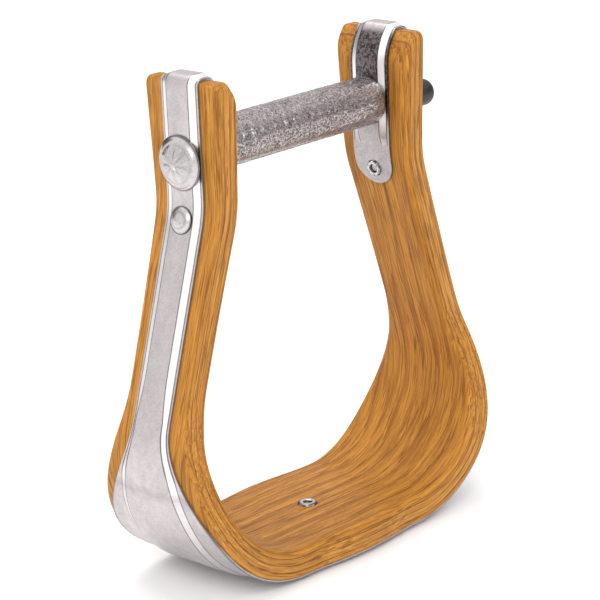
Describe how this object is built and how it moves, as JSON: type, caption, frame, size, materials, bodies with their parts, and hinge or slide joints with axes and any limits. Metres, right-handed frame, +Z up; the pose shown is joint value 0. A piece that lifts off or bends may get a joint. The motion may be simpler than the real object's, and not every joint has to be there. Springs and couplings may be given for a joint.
{
  "type": "stirrup",
  "caption": "Western bell-bottom riding stirrup: bent laminated wood bow bound with a sheet-metal strip, with a tube roller on a cross bolt at the neck.",
  "frame": {"origin": "under the middle of the tread, on the flat face of the strip that the stirrup stands on", "axes": "+Z up through the neck, X across between the uprights with the bolt head at -X, -Y front"},
  "size_m": [0.1452, 0.056, 0.1666],
  "materials": {
    "wood": "clear satin lacquer over honey-coloured bent plies",
    "galvanised_sheet": "galvanised sheet, faint spangle, half bright",
    "galvanised_tube": "rolled galvanised sheet with a coarse spangled, pitted skin",
    "plated_steel": "bright zinc plate",
    "nylon": "natural nylon",
    "black_rubber": "black moulded rubber, slightly glossy"
  },
  "bodies": {
    "bow": {"ply_outer": "wood", "ply_outer_core": "wood", "ply_inner_core": "wood", "ply_inner": "wood", "binding_strip": "galvanised_sheet", "near_neck_rivet": "plated_steel", "off_neck_rivet": "plated_steel", "tread_rivet": "plated_steel"},
    "roller": {"roller": "galvanised_tube"},
    "bolt": {"stirrup_bolt": "plated_steel"},
    "washer": {"flat_washer": "plated_steel"},
    "nut": {"lock_nut": "plated_steel", "lock_ring": "nylon"},
    "cap": {"thread_cap": "black_rubber"}
  },
  "joints": [
    {"name": "roller_spin", "type": "hinge", "parent": "bow", "child": "roller", "pos_m": [0, 0, 0.14176], "axis": [1, 0, 0], "continuous": true},
    {"name": "bolt_draw", "type": "slide", "parent": "bow", "child": "bolt", "axis": [-1, 0, 0], "range_m": [0, 0.12]},
    {"name": "washer_slide", "type": "slide", "parent": "bow", "child": "washer", "axis": [1, 0, 0], "range_m": [0, 0.018]},
    {"name": "nut_turn", "type": "hinge", "parent": "washer", "child": "nut", "pos_m": [0.0545, 0, 0.13908], "axis": [1, 0, 0], "range_deg": [-4700, 0]},
    {"name": "cap_pull", "type": "slide", "parent": "nut", "child": "cap", "axis": [1, 0, 0], "range_m": [0, 0.014]}
  ],
  "couplings": [
    {"joint": "nut_turn", "follows": "washer_slide", "rad_per_m": -4452.7}
  ]
}
